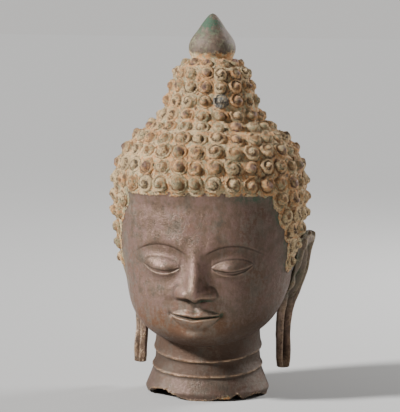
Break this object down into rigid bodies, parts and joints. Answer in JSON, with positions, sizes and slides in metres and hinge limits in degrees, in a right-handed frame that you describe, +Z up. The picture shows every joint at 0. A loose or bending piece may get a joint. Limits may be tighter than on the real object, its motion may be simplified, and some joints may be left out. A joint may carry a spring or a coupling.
{
  "type": "buddha head",
  "caption": "Hollow cast bronze buddha head with snail-shell curls, a tall crown, a lotus bud finial and long lobed ears, broken off at the ringed neck.",
  "frame": {"origin": "on the surface the ragged neck stands on, under the middle of the head", "axes": "+Z up along the neck and crown, the face looks along -Y, +X to the viewer's right"},
  "size_m": [0.156, 0.1519, 0.284],
  "materials": {
    "bronze": "cast bronze with a dark brown satin patina, and tan earthy crust and green traces over the curls"
  },
  "bodies": {
    "root": {"buddha_head": "bronze"}
  },
  "joints": []
}
